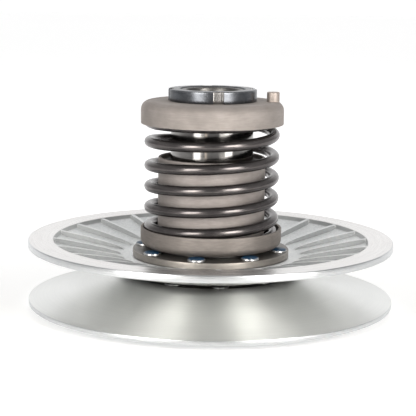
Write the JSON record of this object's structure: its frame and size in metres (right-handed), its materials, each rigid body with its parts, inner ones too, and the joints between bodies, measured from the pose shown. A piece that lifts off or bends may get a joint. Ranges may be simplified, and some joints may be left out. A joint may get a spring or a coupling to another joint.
{
  "type": "cvt driven pulley set",
  "caption": "Driven pulley of a belt variator: a fixed and a sliding sheave on a splined hollow shaft, with a cam collar, a coil spring between seats and a slotted ring nut.",
  "frame": {"origin": "centre of the object's box at its base, which is the lower end of the splined shaft, on the shaft axis", "axes": "+Z along the shaft, from the fixed sheave to the ring nut; -Y is the side the seat stud is turned a quarter turn from, with the stud near +X"},
  "size_m": [0.213, 0.213, 0.1276],
  "materials": {
    "turned_aluminium": "lathe-turned belt faces and band, satin with fine concentric tool marks; as-cast ribs on the back",
    "cast_aluminium": "as-cast, fine sandy texture",
    "turned_steel": "satin warm grey turned steel with a thin oil film",
    "polished_steel": "ground and polished",
    "black_phosphate": "blue-black phosphate, low gloss with worn edges",
    "spring_steel": "oil-tempered dark brown wire, semi-gloss",
    "rivet_steel": "pressed steel, bright edges",
    "rivet_mark": "dark blue marking lacquer on the rivet heads",
    "stud_steel": "satin, slightly warm",
    "bearing_bronze": "sintered bronze, matte",
    "rubber": "smooth nitrile"
  },
  "bodies": {
    "fixed": {"fixed_sheave": "turned_aluminium", "splined_shaft": "polished_steel", "fixed_rivet_1": "rivet_steel", "fixed_rivet_2": "rivet_steel", "fixed_rivet_3": "rivet_steel", "fixed_rivet_4": "rivet_steel", "fixed_rivet_5": "rivet_steel", "fixed_rivet_6": "rivet_steel", "fixed_rivet_7": "rivet_steel", "fixed_rivet_8": "rivet_steel", "guide_pin_1": "polished_steel", "guide_pin_2": "polished_steel", "guide_pin_3": "polished_steel", "guide_pin_4": "polished_steel", "upper_spring_seat": "turned_steel", "seat_stud": "stud_steel", "ring_nut": "black_phosphate", "coil_spring": "spring_steel"},
    "lower_seat": {"lower_spring_seat": "turned_steel"},
    "sliding": {"sliding_sheave": "turned_aluminium", "cam_collar": "turned_steel", "sliding_rivet_1": "rivet_steel", "sliding_rivet_2": "rivet_steel", "sliding_rivet_3": "rivet_steel", "sliding_rivet_4": "rivet_steel", "sliding_rivet_5": "rivet_steel", "sliding_rivet_6": "rivet_steel", "sliding_rivet_7": "rivet_steel", "sliding_rivet_8": "rivet_steel", "thrust_washer": "turned_steel", "oil_seal_lower": "rubber", "oil_seal_upper": "rubber", "slide_bush_lower": "bearing_bronze", "slide_bush_upper": "bearing_bronze", "o_ring_lower": "rubber", "o_ring_upper": "rubber"}
  },
  "joints": [
    {"name": "sheave_slide", "type": "slide", "parent": "fixed", "child": "lower_seat", "axis": [0, 0, 1], "range_m": [0, 0.022], "stiffness_N_per_m": 5000, "springref_m": -0.03, "deforming": ["coil_spring"]},
    {"name": "cam_twist", "type": "hinge", "parent": "lower_seat", "child": "sliding", "pos_m": [0, 0, 0.06], "axis": [0, 0, 1], "range_deg": [0, 39.95]}
  ],
  "couplings": [
    {"joint": "cam_twist", "follows": "sheave_slide", "rad_per_m": 31.65}
  ]
}
